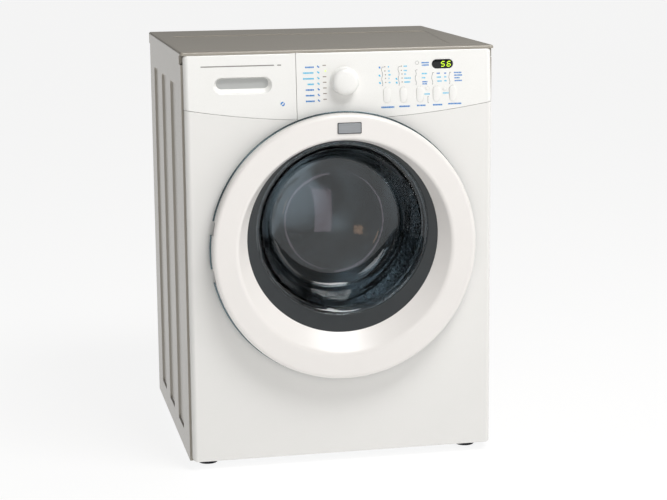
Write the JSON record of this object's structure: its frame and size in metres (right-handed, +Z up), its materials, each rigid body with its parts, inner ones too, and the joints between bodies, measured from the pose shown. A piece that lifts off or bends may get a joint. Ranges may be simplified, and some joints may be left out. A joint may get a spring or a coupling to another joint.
{
  "type": "front load washing machine",
  "caption": "Front loading washing machine: steel cabinet, round glass door on a side hinge, detergent drawer, programme knob, push buttons and a spring hung tub with a belt driven drum.",
  "frame": {"origin": "centre of the bounding box on the floor under the feet", "axes": "+Z up, -Y out of the front where the door and controls are, +X to the right as seen from the front"},
  "size_m": [0.686, 0.699, 0.914],
  "materials": {
    "white_enamel": "warm white gloss enamel",
    "grey_enamel": "warm grey satin enamel",
    "white_plastic": "glossy warm white plastic",
    "chrome_band": "bright plated band",
    "dark_plastic": "charcoal satin plastic",
    "grey_plastic": "light grey moulded plastic",
    "door_glass": "thick clear pressed glass",
    "display_black": "black gloss display window",
    "drum_steel": "perforated stainless steel",
    "cast_aluminium": "cast aluminium",
    "zinc_steel": "zinc plated steel",
    "rubber_grey": "grey moulded rubber",
    "rubber_black": "black rubber",
    "tub_polymer": "off-white filled polymer",
    "concrete": "cast concrete",
    "board_green": "circuit board with a plastic cover"
  },
  "bodies": {
    "cabinet": {"base_frame": "zinc_steel", "foot_front_left": "rubber_black", "foot_front_right": "rubber_black", "foot_rear_left": "rubber_black", "foot_rear_right": "rubber_black", "left_side_panel": "grey_enamel", "right_side_panel": "grey_enamel", "rear_panel": "zinc_steel", "rear_access_cover": "zinc_steel", "front_panel": "white_enamel", "worktop": "grey_enamel", "console_panel": "white_plastic", "top_brace": "zinc_steel", "dispenser_housing": "grey_plastic", "inlet_valve": "tub_polymer", "cord_gland": "rubber_black", "control_board": "board_green", "display_window": "display_black", "hinge_bracket": "zinc_steel", "door_lock": "dark_plastic", "drain_pump": "dark_plastic", "damper_cylinder_left": "dark_plastic", "damper_cylinder_right": "dark_plastic", "door_gasket": "rubber_grey", "sump_hose": "rubber_grey", "spring_left": "zinc_steel", "spring_right": "zinc_steel"},
    "tub": {"tub_front": "tub_polymer", "tub_rear": "tub_polymer", "front_counterweight": "concrete", "motor": "cast_aluminium", "drive_belt": "rubber_black", "front_bearing": "zinc_steel", "rear_bearing": "zinc_steel", "damper_rod_left": "zinc_steel", "damper_rod_right": "zinc_steel"},
    "drum": {"drum": "drum_steel", "drum_lifter_1": "grey_plastic", "drum_lifter_2": "grey_plastic", "drum_lifter_3": "grey_plastic", "drum_spider": "cast_aluminium", "drum_pulley": "cast_aluminium"},
    "motor_rotor": {"motor_pulley": "zinc_steel"},
    "drawer": {"drawer_front": "white_plastic", "drawer_tray": "grey_plastic"},
    "knob": {"program_knob": "white_plastic"},
    "door": {"door_ring": "white_plastic", "door_trim_ring": "chrome_band", "door_back_panel": "grey_plastic", "door_inner_frame": "dark_plastic", "door_glass": "door_glass", "door_latch_hook": "zinc_steel", "door_hinge_pin": "zinc_steel"},
    "option_1": {"option_button_1": "white_plastic"},
    "option_2": {"option_button_2": "white_plastic"},
    "option_3": {"option_button_3": "white_plastic"},
    "option_4": {"option_button_4": "white_plastic"},
    "option_5": {"option_button_5": "white_plastic"},
    "round_1": {"round_button_1": "white_plastic"},
    "round_2": {"round_button_2": "white_plastic"}
  },
  "joints": [
    {"name": "suspension", "type": "slide", "parent": "cabinet", "child": "tub", "axis": [0, 0, 1], "range_m": [-0.01, 0.01], "stiffness_N_per_m": 12000, "springref_m": 0.02372, "deforming": ["spring_left", "spring_right", "sump_hose", "door_gasket"]},
    {"name": "drum_spin", "type": "hinge", "parent": "tub", "child": "drum", "pos_m": [0, 0, 0.5], "axis": [0, 1, 0], "continuous": true},
    {"name": "motor_spin", "type": "hinge", "parent": "tub", "child": "motor_rotor", "pos_m": [0.1, 0.2, 0.125], "axis": [0, 1, 0], "continuous": true},
    {"name": "door_hinge", "type": "hinge", "parent": "cabinet", "child": "door", "pos_m": [-0.272, -0.3305, 0.49], "axis": [0, 0, -1], "range_deg": [0, 120]},
    {"name": "drawer_slide", "type": "slide", "parent": "cabinet", "child": "drawer", "axis": [0, -1, 0], "range_m": [0, 0.2]},
    {"name": "knob_turn", "type": "hinge", "parent": "cabinet", "child": "knob", "pos_m": [0.008, -0.3, 0.845], "axis": [0, 1, 0], "continuous": true},
    {"name": "option_1_press", "type": "slide", "parent": "cabinet", "child": "option_1", "axis": [0, 1, 0], "range_m": [0, 0.0015], "stiffness_N_per_m": 800},
    {"name": "option_2_press", "type": "slide", "parent": "cabinet", "child": "option_2", "axis": [0, 1, 0], "range_m": [0, 0.0015], "stiffness_N_per_m": 800},
    {"name": "option_3_press", "type": "slide", "parent": "cabinet", "child": "option_3", "axis": [0, 1, 0], "range_m": [0, 0.0015], "stiffness_N_per_m": 800},
    {"name": "option_4_press", "type": "slide", "parent": "cabinet", "child": "option_4", "axis": [0, 1, 0], "range_m": [0, 0.0015], "stiffness_N_per_m": 800},
    {"name": "option_5_press", "type": "slide", "parent": "cabinet", "child": "option_5", "axis": [0, 1, 0], "range_m": [0, 0.0015], "stiffness_N_per_m": 800},
    {"name": "round_1_press", "type": "slide", "parent": "cabinet", "child": "round_1", "axis": [0, 1, 0], "range_m": [0, 0.0008], "stiffness_N_per_m": 800},
    {"name": "round_2_press", "type": "slide", "parent": "cabinet", "child": "round_2", "axis": [0, 1, 0], "range_m": [0, 0.0008], "stiffness_N_per_m": 800}
  ],
  "couplings": [
    {"joint": "motor_spin", "follows": "drum_spin", "ratio": 12}
  ]
}
